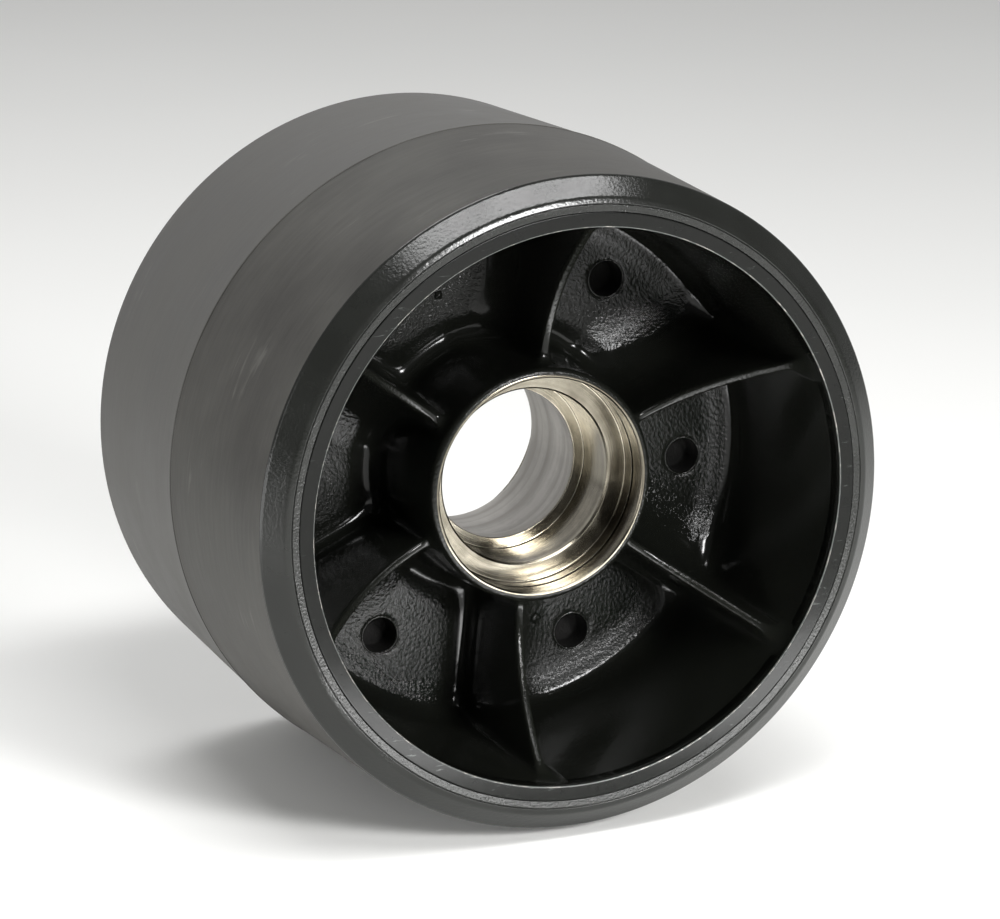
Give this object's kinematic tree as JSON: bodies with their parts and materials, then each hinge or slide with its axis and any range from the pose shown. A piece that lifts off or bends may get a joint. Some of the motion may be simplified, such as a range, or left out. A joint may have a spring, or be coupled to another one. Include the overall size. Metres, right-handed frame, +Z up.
{
  "type": "track roller wheel",
  "caption": "Rubber-tyred track roller wheel with a crowned tread, a deep ribbed dish on each side and an open stepped hub bore for bearings and seals.",
  "frame": {"origin": "centre of the wheel: on its axis, midway between the two rim faces", "axes": "+Y along the wheel's axis from the front side to the rear side, +Z up, +X to the right as seen from the front"},
  "size_m": [0.339, 0.255, 0.339],
  "materials": {
    "tyre_rubber": "matt moulded natural rubber with faint scuffs",
    "casting_paint": "gloss black paint over a sand cast surface",
    "machined_bore": "bare, fine turned"
  },
  "bodies": {
    "root": {"rubber_tyre": "tyre_rubber", "rim": "casting_paint", "web": "casting_paint", "hub": "machined_bore", "front_rib_1": "casting_paint", "front_rib_2": "casting_paint", "front_rib_3": "casting_paint", "front_rib_4": "casting_paint", "front_rib_5": "casting_paint", "front_rib_6": "casting_paint", "rear_rib_1": "casting_paint", "rear_rib_2": "casting_paint", "rear_rib_3": "casting_paint", "rear_rib_4": "casting_paint", "rear_rib_5": "casting_paint", "rear_rib_6": "casting_paint"}
  },
  "joints": []
}
